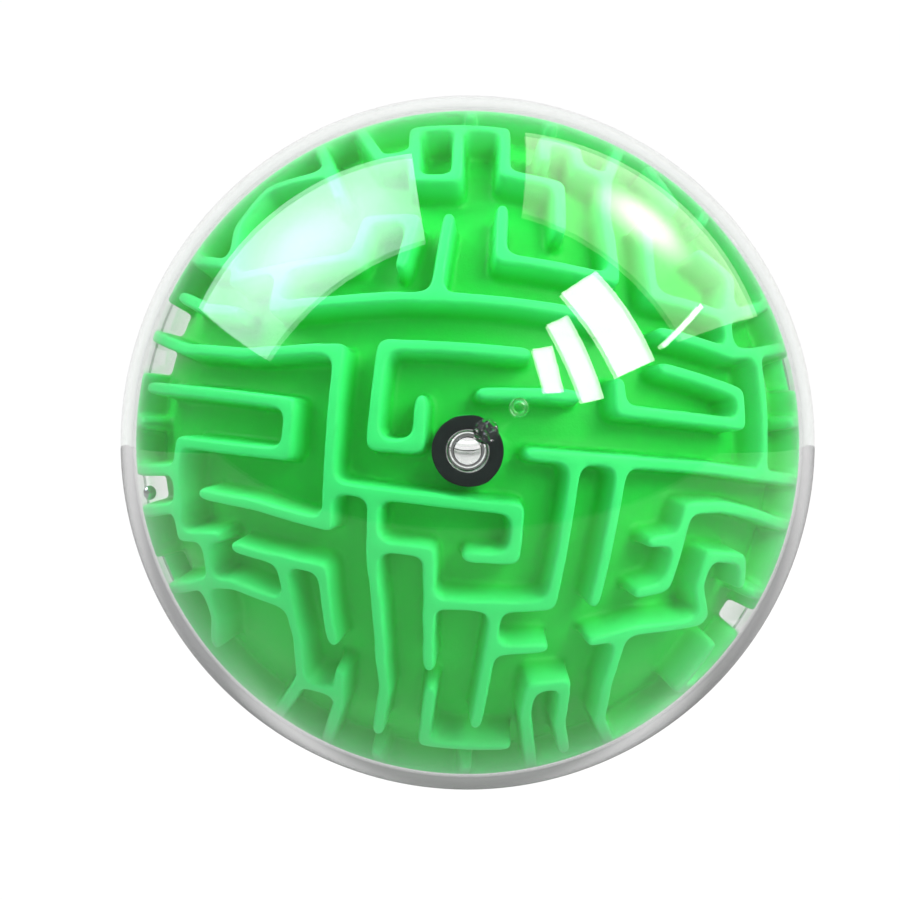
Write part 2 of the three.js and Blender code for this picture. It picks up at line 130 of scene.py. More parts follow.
# ---------------------------------------------------------------- modelling
def deselect():
    if bpy.context.object and bpy.context.object.mode != "OBJECT":
        bpy.ops.object.mode_set(mode="OBJECT")
    bpy.ops.object.select_all(action="DESELECT")


def pick(piece):
    deselect()
    piece.select_set(True)
    bpy.context.view_layer.objects.active = piece


def apply_modifier(piece, kind, **settings):
    pick(piece)
    modifier = piece.modifiers.new(kind.title(), kind)
    for name, value in settings.items():
        setattr(modifier, name, value)
    bpy.ops.object.modifier_apply(modifier=modifier.name)


def smooth(piece, degrees):
    pick(piece)
    bpy.ops.object.shade_smooth_by_angle(angle=math.radians(degrees))


def arc(radius, start, end, steps):
    """Points (distance from the axis, height) on a sphere, by angle from its pole."""
    angles = np.linspace(start, end, steps + 1)
    return [(radius * math.sin(a), radius * math.cos(a)) for a in angles]


def on_sphere(radius, height):
    return (math.sqrt(radius * radius - height * height), height)


def on_casing(across, up):
    """The place on the front of the casing, in millimetres."""
    return Vector((across, -math.sqrt(CASING_RADIUS**2 - across**2 - up**2), up))


def pole_angle(point):
    return math.atan2(point[0], point[1])


def turned_piece(name, outline, side, steps, closed=True):
    """A ring of vertices is laid on the outline and spun round the polar axis.

    An outline that isn't closed has both its ends on the axis.
    """
    deselect()
    bpy.ops.mesh.primitive_circle_add(vertices=len(outline), radius=MM)
    piece = bpy.context.object
    piece.name = name
    piece.data.name = name
    for vertex, (radius, height) in zip(piece.data.vertices, outline):
        vertex.co = Vector((radius, side * height, 0)) * MM
    last = len(outline) - 1
    bpy.ops.object.mode_set(mode="EDIT")
    bpy.ops.mesh.select_mode(type="EDGE")
    if not closed:
        bpy.ops.mesh.select_all(action="DESELECT")
        bpy.ops.object.mode_set(mode="OBJECT")
        for edge in piece.data.edges:
            edge.select = set(edge.vertices) == {0, last}
        bpy.ops.object.mode_set(mode="EDIT")
        bpy.ops.mesh.delete(type="EDGE")
    bpy.ops.mesh.select_all(action="SELECT")
    bpy.ops.mesh.spin(steps=steps, angle=math.tau, center=(0, 0, 0), axis=(0, 1, 0))
    bpy.ops.mesh.select_all(action="SELECT")
    bpy.ops.mesh.remove_doubles(threshold=SPIN_WELD * MM)
    bpy.ops.mesh.normals_make_consistent(inside=False)
    bpy.ops.object.mode_set(mode="OBJECT")
    return piece


# ---------------------------------------------------------------- materials
class Amount:
    """A number in a material. Arithmetic on it adds Math nodes."""

    def __init__(self, finish, socket):
        self.finish = finish
        self.socket = socket

    def _math(self, operation, first, second):
        node = self.finish.node(
            "ShaderNodeMath", {"operation": operation}, {0: first, 1: second}
        )
        return Amount(self.finish, node.outputs[0])

    def __add__(self, other):
        return self._math("ADD", self, other)

    def __rsub__(self, other):
        return self._math("SUBTRACT", other, self)

    def __mul__(self, other):
        return self._math("MULTIPLY", self, other)

    def smaller(self, other):
        return self._math("MINIMUM", self, other)

    def larger(self, other):
        return self._math("MAXIMUM", self, other)

    __radd__ = __add__
    __rmul__ = __mul__


class Finish:
    """The nodes of one material or of the surroundings."""

    def __init__(self, holder):
        holder.use_nodes = True
        self.tree = holder.node_tree
        self.tree.nodes.clear()

    def node(self, kind, settings=None, inputs=None):
        made = self.tree.nodes.new(kind)
        for name, value in (settings or {}).items():
            setattr(made, name, value)
        for name, value in (inputs or {}).items():
            socket = made.inputs[name]
            if isinstance(value, Amount):
                value = value.socket
            if isinstance(value, bpy.types.NodeSocket):
                self.tree.links.new(value, socket)
            else:
                socket.default_value = value
        return made

    def amount(self, kind, output, settings=None, inputs=None):
        return Amount(self, self.node(kind, settings, inputs).outputs[output])

    def place(self):
        return self.node("ShaderNodeTexCoord").outputs["Object"]

    def distance(self, point, place):
        """Millimetres from a point of the object."""
        near = self.node(
            "ShaderNodeVectorMath", {"operation": "DISTANCE"}, {0: place, 1: Vector(point) * MM}
        )
        return Amount(self, near.outputs["Value"]) * (1 / MM)

    def step(self, value, low, high, start=0.0, end=1.0):
        """A smooth change from start to end as value goes from low to high."""
        return self.amount(
            "ShaderNodeMapRange",
            "Result",
            {"interpolation_type": "SMOOTHSTEP"},
            {"Value": value, "From Min": low, "From Max": high, "To Min": start, "To Max": end},
        )

    def noise(self, place, per_metre, detail=3.0, roughness=0.5):
        return self.amount(
            "ShaderNodeTexNoise",
            "Fac",
            {},
            {"Vector": place, "Scale": per_metre, "Detail": detail, "Roughness": roughness},
        )

    def mixed(self, share, first, second):
        mix = self.node("ShaderNodeMix", {"data_type": "RGBA"}, {0: share, 6: first, 7: second})
        return mix.outputs[2]

    def bump(self, height, distance, strength=1.0):
        bump = self.node(
            "ShaderNodeBump", {}, {"Height": height, "Distance": distance, "Strength": strength}
        )
        return bump.outputs["Normal"]

    def surface(self, shader):
        self.node("ShaderNodeOutputMaterial", {}, {"Surface": shader})


def colour(red, green, blue):
    return (red, green, blue, 1.0)


def material(name):
    made = bpy.data.materials.new(name)
    return made, Finish(made)


def green_plastic(name, shine, roughest, smoothest):
    """Moulded plastic with painted light and shade: the walls' tops painted lighter, the channels
    painted darker.
    """
    made, finish = material(name)
    place = finish.place()
    height = finish.distance((0, 0, 0), place)
    # Painted light and shade: the colour goes from the channels' painted shade to the tops' painted
    # light as the height rises.
    painted_top_light_share = finish.step(height, FLOOR + 0.4, WALL_TOP)
    cloud = finish.noise(place, 55, 2.0)
    # The channels' painted shade and the tops' painted light, each with a random cloud of tone.
    painted_channel_shade = finish.mixed(cloud, colour(0.01, 0.56, 0.045), colour(0.016, 0.63, 0.06))
    light = finish.mixed(cloud, colour(0.035, 0.80, 0.16), colour(0.055, 0.85, 0.2))
    grain = finish.noise(place, 2600, 4.0, 0.6)
    flow = finish.noise(place, 180, 2.0)
    shader = finish.node(
        "ShaderNodeBsdfPrincipled",
        {},
        {
            "Base Color": finish.mixed(painted_top_light_share, painted_channel_shade, light),
            "Roughness": finish.step(grain, 0.3, 0.7, smoothest, roughest),
            "IOR": 1.49,
            "Specular IOR Level": shine,
            "Normal": finish.bump(grain * 0.35 + flow, 0.00009),
        },
    )
    finish.surface(shader.outputs[0])
    return made


def clear_plastic():
    """Polished clear plastic. Lamps and the light between the pieces pass straight through it."""
    made, finish = material("polished clear plastic")
    place = finish.place()
    scuffs = finish.noise(place, 420, 5.0, 0.65)
    gate = finish.distance(on_casing(*GATE_MARK), place)
    pin = finish.distance(on_casing(*PIN_MARK), place)
    frost = finish.step(gate, 1.3, 2.1, 0.16, 0) + finish.step(pin, 1.2, 1.7, 0.3, 0) * (
        finish.step(pin, 0.5, 1.0)
    )
    glass = finish.node(
        "ShaderNodeBsdfPrincipled",
        {},
        {
            "Base Color": colour(1.0, 1.0, 1.0),
            "Transmission Weight": 1.0,
            "IOR": 1.5,
            "Roughness": finish.step(scuffs, 0.55, 0.8, 0.0, 0.03) + frost,
        },
    )
    straight = finish.node("ShaderNodeBsdfTransparent", {}, {"Color": colour(0.93, 0.94, 0.935)})
    rays = finish.node("ShaderNodeLightPath")
    passing = Amount(finish, rays.outputs["Is Shadow Ray"]).larger(rays.outputs["Is Diffuse Ray"])
    mix = finish.node(
        "ShaderNodeMixShader", {}, {0: passing, 1: glass.outputs[0], 2: straight.outputs[0]}
    )
    finish.surface(mix.outputs[0])
    return made


def black_rubber():
    made, finish = material("black rubber")
    place = finish.place()
    grain = finish.noise(place, 2400, 5.0, 0.7)
    patches = finish.noise(place, 500, 2.0)
    shader = finish.node(
        "ShaderNodeBsdfPrincipled",
        {},
        {
            "Base Color": finish.mixed(
                patches, colour(0.006, 0.012, 0.01), colour(0.014, 0.022, 0.019)
            ),
            "Specular IOR Level": 0.12,
            "Roughness": finish.step(grain, 0.3, 0.7, 0.62, 0.8),
            "Normal": finish.bump(grain, 0.00008),
        },
    )
    finish.surface(shader.outputs[0])
    return made


def polished_steel():
    made, finish = material("polished steel")
    place = finish.place()
    marks = finish.noise(place, 1800, 4.0, 0.6)
    shader = finish.node(
        "ShaderNodeBsdfPrincipled",
        {},
        {
            "Base Color": finish.mixed(marks, colour(0.62, 0.63, 0.65), colour(0.74, 0.75, 0.77)),
            "Metallic": 1.0,
            "Roughness": finish.step(marks, 0.4, 0.75, 0.1, 0.22),
            "Normal": finish.bump(marks, 0.00001),
        },
    )
    finish.surface(shader.outputs[0])
    return made


# ---------------------------------------------------------------- maze halves
# Each half of the core is laid flat by stereographic projection from its pole, in which small
# shapes keep their form. A flat place is a pair [along X, along Z], in millimetres.
def flat_angle(flat):
    return 2 * np.arctan(np.hypot(flat[..., 0], flat[..., 1]) / (2 * WALL_TOP))


def flat_distance(angle):
    return 2 * WALL_TOP * np.tan(angle / 2)


def directions(flat, side, furthest=math.pi / 2):
    angle = np.minimum(flat_angle(flat), furthest)
    reach = np.maximum(np.hypot(flat[..., 0], flat[..., 1]), 1e-9)
    across = flat / reach[..., None] * np.sin(angle)[..., None]
    return np.stack([across[..., 0], side * np.cos(angle), across[..., 1]], axis=-1)


def softened(grid, cells):
    """The grid blurred by a bell curve of that width, in cells."""
    reach = int(math.ceil(BELL_REACH * cells))
    weights = np.exp(-0.5 * (np.arange(-reach, reach + 1) / cells) ** 2)
    weights /= weights.sum()
    for axis in (0, 1):
        padded = np.pad(grid, [(reach, reach) if a == axis else (0, 0) for a in (0, 1)], "edge")
        size = grid.shape[axis]
        grid = sum(
            weight * padded.take(np.arange(k, k + size), axis=axis)
            for k, weight in enumerate(weights)
        )
    return grid


def traced_walls(node, side):
    """How much of the surroundings of each flat place is wall, from 0 to 1."""
    reach = FLAT_REACH * WALL_TOP
    marks = np.linspace(-reach, reach, FLAT_CELLS)
    flat = np.stack(np.meshgrid(marks, marks), axis=-1)
    seam = math.pi / 2 - SEAM_MARGIN / WALL_TOP
    ways = directions(flat, side, seam)
    mesh = frame["nodes"][node].data
    points = [v.co for v in mesh.vertices]
    mesh.calc_loop_triangles()
    faces = [tuple(t.vertices) for t in mesh.loop_triangles]
    tree = BVHTree.FromPolygons(points, faces)
    angle = flat_angle(flat)
    wanted = (angle < PAST_SEAM) & (angle > (PAD_RADIUS + PAD_MARGIN) / WALL_TOP)
    start = (CASING_BORE + 1) * MM
    middle = (FLOOR + WALL_HEIGHT / 2) * MM
    wall = np.zeros(angle.shape)
    for row, column in zip(*np.nonzero(wanted)):
        way = Vector(ways[row, column])
        distance = tree.ray_cast(way * start, -way, start)[3]
        wall[row, column] = distance is not None and start - distance > middle
    cell = marks[1] - marks[0]
    stretch = np.clip(1 / np.cos(angle / 2) ** 2 - 1, 0, 1)

    def evenly_softened(grid, softness):
        near_pole = softened(grid, softness / cell)
        near_seam = softened(grid, 2 * softness / cell)
        return near_pole * (1 - stretch) + near_seam * stretch

    rounded = evenly_softened(wall, CORNER_SOFTNESS)
    outward = (rounded - 0.5) * CORNER_SOFTNESS * math.sqrt(math.tau) * (1 + stretch)
    return marks, evenly_softened(np.clip(0.5 + outward / cell, 0, 1), EDGE_SOFTNESS)


def level_lines(grid, level, marks):
    """The lines on which the grid has that value, as arrays of flat places."""
    above = grid > level
    count = grid.shape[0]
    cell = marks[1] - marks[0]

    def crossing(key):
        upright, key = divmod(key, count * count)
        row, column = divmod(key, count)
        first = grid[row, column]
        second = grid[row + 1, column] if upright else grid[row, column + 1]
        share = (level - first) / (second - first)
        x = marks[0] + cell * (column + (0 if upright else share))
        z = marks[0] + cell * (row + (share if upright else 0))
        return (x, z)

    low = above[:-1, :-1]
    right = above[:-1, 1:]
    over = above[1:, :-1]
    far = above[1:, 1:]
    mixed = (low != right) | (right != far) | (over != low)
    neighbours = {}
    for row, column in zip(*(part.tolist() for part in np.nonzero(mixed))):
        base = row * count + column
        keys = []
        if low[row, column] != right[row, column]:
            keys.append(base)
        if right[row, column] != far[row, column]:
            keys.append(count * count + base + 1)
        if over[row, column] != far[row, column]:
            keys.append(base + count)
        if low[row, column] != over[row, column]:
            keys.append(count * count + base)
        pairs = [(keys[0], keys[1])]
        if len(keys) == 4:
            middle = grid[row:row + 2, column:column + 2].mean() > level
            if low[row, column] == middle:
                pairs = [(keys[0], keys[1]), (keys[2], keys[3])]
            else:
                pairs = [(keys[0], keys[3]), (keys[1], keys[2])]
        for one, other in pairs:
            neighbours.setdefault(one, []).append(other)
            neighbours.setdefault(other, []).append(one)
    lines = []
    left = dict.fromkeys(neighbours)
    ends = [key for key, near in neighbours.items() if len(near) == 1]
    for start in ends + list(neighbours):
        if start not in left:
            continue
        line = [start]
        del left[start]
        closed = len(neighbours[start]) == 2
        while True:
            onward = [key for key in neighbours[line[-1]] if key in left]
            if not onward:
                break
            line.append(onward[0])
            del left[onward[0]]
        places = np.array([crossing(key) for key in line])
        if closed:
            places = np.vstack([places, places[:1]])
        lines.append(places)
    return lines


def spaced(line, spacing):
    steps = np.hypot(*np.diff(line, axis=0).T)
    along = np.concatenate([[0], np.cumsum(steps)])
    count = max(4, int(along[-1] / spacing))
    marks = np.linspace(0, along[-1], count + 1)
    return np.column_stack([np.interp(marks, along, line[:, axis]) for axis in (0, 1)])


def eased(line, closed):
    for _ in range(3):
        if closed:
            inner = line[:-1]
            inner = (np.roll(inner, 1, 0) + 2 * inner + np.roll(inner, -1, 0)) / 4
            line = np.vstack([inner, inner[:1]])
        else:
            line = line.copy()
            line[1:-1] = (line[:-2] + 2 * line[1:-1] + line[2:]) / 4
    return line


def thinned(line):
    """Fewer points where the line is straight and more where it turns."""
    steps = np.diff(line, axis=0)
    lengths = np.maximum(np.hypot(steps[:, 0], steps[:, 1]), 1e-9)
    heading = np.unwrap(np.arctan2(steps[:, 1], steps[:, 0]))
    turning = np.abs(np.diff(heading, prepend=heading[0]))
    middle = (line[1:] + line[:-1]) / 2
    stretch = 1 / np.cos(flat_angle(middle) / 2) ** 2
    measure = np.concatenate([[0], np.cumsum(turning / TURN_SHARE + lengths / stretch / STRETCH)])
    count = max(6, int(math.ceil(measure[-1])))
    marks = np.linspace(0, measure[-1], count + 1)
    return np.column_stack([np.interp(marks, measure, line[:, axis]) for axis in (0, 1)])


def inside_seam(line, reach):
    """The stretches of a line inside the seam circle, ending exactly on it."""
    distance = np.hypot(line[:, 0], line[:, 1])
    within = distance < reach
    if within.all():
        return [(line, np.allclose(line[0], line[-1]))]
    if not within.any():
        return []
    if np.allclose(line[0], line[-1]) and within[0]:
        first_out = int(np.argmin(within))
        line = np.vstack([line[first_out:-1], line[:first_out + 1]])
        distance = np.hypot(line[:, 0], line[:, 1])
        within = distance < reach
    stretches = []
    current = []
    for k in range(len(line)):
        crossing = None
        if k and within[k] != within[k - 1]:
            share = (reach - distance[k - 1]) / (distance[k] - distance[k - 1])
            crossing = line[k - 1] + (line[k] - line[k - 1]) * share
            crossing = crossing * (reach / np.hypot(*crossing))
        if within[k]:
            if crossing is not None:
                current = [crossing]
            current.append(line[k])
        elif current:
            stretches.append((np.array(current + [crossing]), False))
            current = []
    if current:
        stretches.append((np.array(current), False))
    return [(part, closed) for part, closed in stretches if len(part) > 2]


def grid_value(grid, marks, flat):
    cell = marks[1] - marks[0]
    spot = (flat[:, ::-1] - marks[0]) / cell
    base = np.clip(spot.astype(int), 0, len(marks) - 2)
    share = spot - base
    row, column = base[:, 0], base[:, 1]
    down, along = share[:, 0], share[:, 1]
    return (
        grid[row, column] * (1 - down) * (1 - along)
        + grid[row, column + 1] * (1 - down) * along
        + grid[row + 1, column] * down * (1 - along)
        + grid[row + 1, column + 1] * down * along
    )


def circle(reach, steps):
    turns = np.arange(steps) * math.tau / steps
    return np.column_stack([np.cos(turns), np.sin(turns)]) * reach


def ring_of_points(angle, spacing):
    steps = max(6, int(math.tau * WALL_TOP * math.sin(angle) / spacing))
    return circle(flat_distance(angle), steps)


def pad_height(flat):
    """Height above the floor's sphere of the flat pad under the washer, or 0."""
    angle = flat_angle(flat)
    away = FLOOR * np.sin(angle)
    rise = np.interp(away, [p[0] for p in PAD_FALL], [p[1] for p in PAD_FALL], right=0)
    top = PAD_TOP / np.cos(angle) - FLOOR
    return rise / PAD_FALL[0][1] * top


def maze_half(name, node, side, tongue):
    """One half of the core, with every wall rounded along its top and filleted at its foot."""
    marks, grid = traced_walls(node, side)
    width = EDGE_SOFTNESS * math.sqrt(2)
    levels = [0.5 * math.erfc(distance / width) for distance, _ in WALL_FALL]
    seam_angle = math.acos(CORE_SEAM_GAP / 2 / WALL_TOP)
    seam_reach = float(flat_distance(seam_angle))
    bore_reach = float(flat_distance(math.asin(HUB_BORE_RADIUS / PAD_TOP)))

    places = []
    heights = []
    edges = []

    def add_line(points, height, closed):
        first = sum(len(part) for part in places)
        if closed:
            points = points[:-1] if np.allclose(points[0], points[-1]) else points
        places.append(points)
        heights.append(np.full(len(points), height, float))
        count = len(points)
        edges.extend((first + k, first + k + 1) for k in range(count - 1))
        if closed:
            edges.append((first + count - 1, first))

    on_seam = []
    for level, (_, height) in zip(levels, WALL_FALL):
        for line in level_lines(grid, level, marks):
            closed = np.allclose(line[0], line[-1])
            length = np.hypot(*np.diff(line, axis=0).T).sum()
            if length < SHORTEST_LINE:
                continue
            line = eased(spaced(line, LINE_STEP), closed)
            for part, whole in inside_seam(line, seam_reach):
                part = thinned(part)
                if not whole:
                    for end in (part[0], part[-1]):
                        if abs(np.hypot(*end) - seam_reach) < 1e-6:
                            on_seam.append((math.atan2(end[1], end[0]), height, end))
                add_line(part, height, whole)

    seam_turns = [
        (math.atan2(z, x), None, np.array((x, z))) for x, z in circle(seam_reach, SEAM_STEPS)
    ]
    clear = 0.25 * math.tau / SEAM_STEPS
    crossing_turns = np.array([turn for turn, _, _ in on_seam] or [99.0])
    seam_turns = [item for item in seam_turns if np.abs(crossing_turns - item[0]).min() > clear]
    seam_turns = sorted(seam_turns + on_seam, key=lambda item: item[0])
    seam_points = np.array([item[2] for item in seam_turns])
    add_line(np.vstack([seam_points, seam_points[:1]]), np.nan, True)
    known = np.array([np.nan if item[1] is None else item[1] for item in seam_turns])
    heights[-1] = known

    for away in [HUB_BORE_RADIUS] + [point[0] for point in PAD_FALL]:
        angle = math.asin(away / (PAD_TOP if away == HUB_BORE_RADIUS else FLOOR))
        points = circle(float(flat_distance(angle)), HUB_STEPS)
        add_line(np.vstack([points, points[:1]]), np.nan, True)

    first_ring = (PAD_RADIUS + 1.5) / WALL_TOP
    last_ring = seam_angle - 0.4 / WALL_TOP
    rings = np.arange(first_ring, last_ring, FLOOR_STEP / WALL_TOP)
    loose = np.vstack([ring_of_points(angle, FLOOR_STEP) for angle in rings])
    share = grid_value(grid, marks, loose)
    loose = loose[(share < LEVEL_GROUND) | (share > 1 - LEVEL_GROUND)]
    places.append(loose)
    heights.append(np.full(len(loose), np.nan))

    flat = np.vstack(places)
    height = np.concatenate(heights)
    made = delaunay_2d_cdt([Vector(p) for p in flat.tolist()], edges, [], 0, 1e-5)
    flat_out = np.array([tuple(p) for p in made[0]])
    faces = np.array([tuple(face) for face in made[2]])
    height_out = np.full(len(flat_out), np.nan)
    for k, origins in enumerate(made[3]):
        given = [height[o] for o in origins if o < len(height) and not math.isnan(height[o])]
        if given:
            height_out[k] = given[0]
    missing = np.isnan(height_out)
    rising = levels[::-1]
    falling = [point[1] for point in WALL_FALL][::-1]
    height_out[missing] = np.interp(grid_value(grid, marks, flat_out[missing]), rising, falling)
    height_out = np.maximum(height_out, pad_height(flat_out))
    centre = flat_out[faces].mean(axis=1)
    reach = np.hypot(centre[:, 0], centre[:, 1])
    faces = faces[(reach > bore_reach * 0.999) & (reach < seam_reach)]
    radius = FLOOR + height_out
    points = directions(flat_out, side, math.pi) * radius[:, None]
    away = np.hypot(flat_out[:, 0], flat_out[:, 1])
    at_seam = np.abs(away - seam_reach) < 1e-3
    half_gap = CORE_SEAM_GAP / 2
    points[at_seam, 1] = side * half_gap
    at_bore = np.abs(away - bore_reach) < 1e-3
    points[at_bore, 1] = side * PAD_TOP
    scale = HUB_BORE_RADIUS / np.hypot(points[at_bore, 0], points[at_bore, 2])
    points[at_bore, 0] *= scale
    points[at_bore, 2] *= scale

    vertices = points.tolist()
    polygons = faces.tolist()

    def loop(mask):
        indices = np.nonzero(mask)[0]
        turns = np.arctan2(points[indices, 2], points[indices, 0])
        order = np.argsort(turns)
        return indices[order].tolist(), turns[order]

    def strip(before, turns, ring):
        """A row of faces from a loop of vertices to a ring at (distance from axis, height)."""
        first = len(vertices)
        away, height = ring
        for turn in turns:
            vertices.append((away * math.cos(turn), side * height, away * math.sin(turn)))
        count = len(turns)
        after = list(range(first, first + count))
        for k in range(count):
            n = (k + 1) % count
            polygons.append((before[k], before[n], after[n], after[k]))
        return after

    middle = CORE_BORE + CORE_WALL / 2
    if tongue:
        lip, end = middle - FIT_GAP / 2, -CORE_TONGUE_DEPTH
    else:
        lip, end = middle + FIT_GAP / 2, CORE_TONGUE_DEPTH + FIT_GAP
    seam_loop, seam_turn = loop(at_seam)
    row = strip(seam_loop, seam_turn, on_sphere(FLOOR - 0.15, half_gap))
    row = strip(row, seam_turn, (lip, half_gap))
    row = strip(row, seam_turn, (lip, end))
    strip(row, seam_turn, on_sphere(CORE_BORE, end))
    bore_loop, bore_turn = loop(at_bore)
    row = strip(bore_loop, bore_turn, (HUB_BORE_RADIUS, half_gap))
    row = strip(row, bore_turn, (HUB_RADIUS, half_gap))
    hub_foot = math.asin(HUB_RADIUS / CORE_BORE)
    strip(row, bore_turn, (HUB_RADIUS, CORE_BORE * math.cos(hub_foot)))

    inner_end = math.acos(end / CORE_BORE)
    outer = np.column_stack([np.cos(seam_turn), np.sin(seam_turn)]) * flat_distance(inner_end)
    inner = np.column_stack([np.cos(bore_turn), np.sin(bore_turn)]) * flat_distance(hub_foot)
    spread = np.arange(hub_foot + 0.08, inner_end - 0.05, INSIDE_TURN)
    loose = np.vstack([ring_of_points(angle, INSIDE_STEP) for angle in spread])
    flat = np.vstack([outer, inner, loose])
    borders = [(k, (k + 1) % len(outer)) for k in range(len(outer))]
    borders += [(len(outer) + k, len(outer) + (k + 1) % len(inner)) for k in range(len(inner))]
    made = delaunay_2d_cdt([Vector(p) for p in flat.tolist()], borders, [], 0, 1e-6)
    flat_out = np.array([tuple(p) for p in made[0]])
    faces = np.array([tuple(face) for face in made[2]])
    centre = flat_out[faces].mean(axis=1)
    faces = faces[np.hypot(centre[:, 0], centre[:, 1]) > flat_distance(hub_foot) * 0.9985]
    first = len(vertices)
    vertices.extend((directions(flat_out, side, math.pi) * CORE_BORE).tolist())
    polygons.extend((faces + first).tolist())

    mesh = bpy.data.meshes.new(name)
    mesh.from_pydata([Vector(v) * MM for v in vertices], [], polygons)
    mesh.validate()
    piece = bpy.data.objects.new(name, mesh)
    bpy.context.scene.collection.objects.link(piece)
    pick(piece)
    bpy.ops.object.mode_set(mode="EDIT")
    bpy.ops.mesh.select_all(action="SELECT")
    bpy.ops.mesh.remove_doubles(threshold=0.003 * MM)
    bpy.ops.mesh.dissolve_degenerate(threshold=0.002 * MM)
    bpy.ops.mesh.select_all(action="SELECT")
    bpy.ops.mesh.normals_make_consistent(inside=False)
    bpy.ops.object.mode_set(mode="OBJECT")
    smooth(piece, 52)
    return piece


# ---------------------------------------------------------------- casing, washers and ball
def casing_half(name, side, tongue):
    """One clear half with its hollow boss, and its lapped edge at the seam."""
    middle = CASING_BORE + CASING_WALL / 2
    half_gap = SEAM_GAP / 2
    if tongue:
        lip, end = middle - half_gap, -CASING_TONGUE_DEPTH
    else:
        lip, end = middle + half_gap, CASING_TONGUE_DEPTH + SEAM_GAP
    inner_edge = on_sphere(CASING_BORE, end)
    outer_edge = on_sphere(CASING_RADIUS, half_gap)
    boss_foot = (BOSS_RADIUS, math.sqrt(CASING_BORE**2 - BOSS_RADIUS**2))
    boss_end = boss_foot[1] - BOSS_LENGTH
    soft = 0.2
    outline = [
        (0, CASING_BORE),
        (BOSS_BORE_RADIUS - soft, CASING_BORE),
        (BOSS_BORE_RADIUS, CASING_BORE - soft),
        (BOSS_BORE_RADIUS, boss_end + soft),
        (BOSS_BORE_RADIUS + soft, boss_end),
        (BOSS_RADIUS - soft, boss_end),
        (BOSS_RADIUS, boss_end + soft),
        (BOSS_RADIUS, boss_foot[1] - 2 * soft),
        (BOSS_RADIUS + 0.3 * soft, boss_foot[1] - soft),
        (BOSS_RADIUS + soft, boss_foot[1] - 0.3 * soft),
    ]
    start = pole_angle((BOSS_RADIUS + 2 * soft, boss_foot[1]))
    rows = TURN_STEPS // 4
    outline += arc(CASING_BORE, start, pole_angle(inner_edge), rows)
    outline += [(lip, end), (lip, half_gap)]
    outline += arc(CASING_RADIUS, pole_angle(outer_edge), 0, rows)
    return turned_piece(name, outline, side, TURN_STEPS, closed=False)


def stand_on_casing(mark, place):
    """Turns a mark made upright at the origin to stand on the casing."""
    centre = on_casing(*place) * MM
    turn = centre.to_track_quat("Z", "Y").to_matrix().to_4x4()
    mark.data.transform(Matrix.Translation(centre) @ turn)


def join_mark(piece, mark):
    apply_modifier(piece, "BOOLEAN", operation="UNION", object=mark, solver="EXACT")
    bpy.data.objects.remove(mark)


def add_gate_mark(piece):
    """The rough stub that is left where the plastic entered the mould."""
    radius, proud, roughness = 1.8, 0.5, 0.6
    deselect()
    bpy.ops.mesh.primitive_uv_sphere_add(segments=48, ring_count=24, radius=radius * MM)
    stub = bpy.context.object
    bpy.ops.object.mode_set(mode="EDIT")
    bpy.ops.transform.resize(value=(1, 1, proud / radius))
    bpy.ops.object.mode_set(mode="OBJECT")
    stand_on_casing(stub, GATE_MARK)
    join_mark(piece, stub)
    centre = on_casing(*GATE_MARK) * MM
    for vertex in piece.data.vertices:
        place = vertex.co
        if (place - centre).length < radius * MM and place.length > (CASING_RADIUS + 0.05) * MM:
            vertex.co = place + place.normalized() * noise.noise(place / MM * 1.6) * roughness * MM


def add_pin_mark(piece):
    """The small raised ring that an ejector pin leaves."""
    deselect()
    bpy.ops.mesh.primitive_torus_add(
        major_segments=48, minor_segments=20, major_radius=1.05 * MM, minor_radius=0.36 * MM
    )
    rim = bpy.context.object
    stand_on_casing(rim, PIN_MARK)
    join_mark(piece, rim)


def washer(name, side):
    """A soft punched ring, a little out of round."""
    top = WALL_TOP
    bottom = top - WASHER_THICKNESS
    inner = BOSS_RADIUS + FIT_GAP
    soft = 0.16
    outline = [
        (inner, bottom + soft),
        (inner, top - soft),
        (inner + soft, top),
        ((inner + WASHER_RADIUS) / 2, top),
        (WASHER_RADIUS - soft, top),
        (WASHER_RADIUS, top - soft),
        (WASHER_RADIUS, bottom + soft),
        (WASHER_RADIUS - soft, bottom),
        ((inner + WASHER_RADIUS) / 2, bottom),
        (inner + soft, bottom),
    ]
    piece = turned_piece(name, outline, side, WASHER_STEPS)
    waves = bpy.data.textures.new(name + " waves", "CLOUDS")
    waves.noise_scale = 0.004
    apply_modifier(
        piece, "DISPLACE", texture=waves, texture_coords="LOCAL", strength=0.0005, direction="Z"
    )
    apply_modifier(piece, "BEVEL", width=0.00004, segments=2, limit_method="ANGLE")
    smooth(piece, 60)
    return piece


def ball(name, node):
    """A cube cast into a ball, so that its faces are even all over."""
    low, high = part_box(node)
    centre = (low + high) / 2
    deselect()
    bpy.ops.mesh.primitive_cube_add(size=2 * BALL_RADIUS * MM)
    piece = bpy.context.object
    piece.name = name
    piece.data.name = name
    bpy.ops.object.mode_set(mode="EDIT")
    bpy.ops.mesh.subdivide(number_cuts=15)
    bpy.ops.object.mode_set(mode="OBJECT")
    apply_modifier(piece, "CAST", factor=1.0, radius=BALL_RADIUS * MM, use_radius_as_size=False)
    for vertex in piece.data.vertices:
        vertex.co = vertex.co.normalized() * BALL_RADIUS * MM + centre
    pick(piece)
    bpy.ops.object.shade_smooth()
    return piece


# ---------------------------------------------------------------- build
FRONT, REAR = -1, 1
finishes = {
    "clear_casing": clear_plastic(),
    "green_maze": green_plastic("moulded green plastic", 0.15, 0.46, 0.36),
    "black_rubber": black_rubber(),
    "polished_steel": polished_steel(),
}
core_pin_finish = green_plastic("green plastic polished by the core pin", 0.5, 0.12, 0.06)


def polish_bore(piece):
    """The bore through the hub was moulded on a polished pin."""
    piece.data.materials.append(core_pin_finish)
    for face in piece.data.polygons:
        away = math.hypot(face.center.x, face.center.z)
        if away < (HUB_BORE_RADIUS + BORE_MARGIN) * MM:
            face.material_index = 1


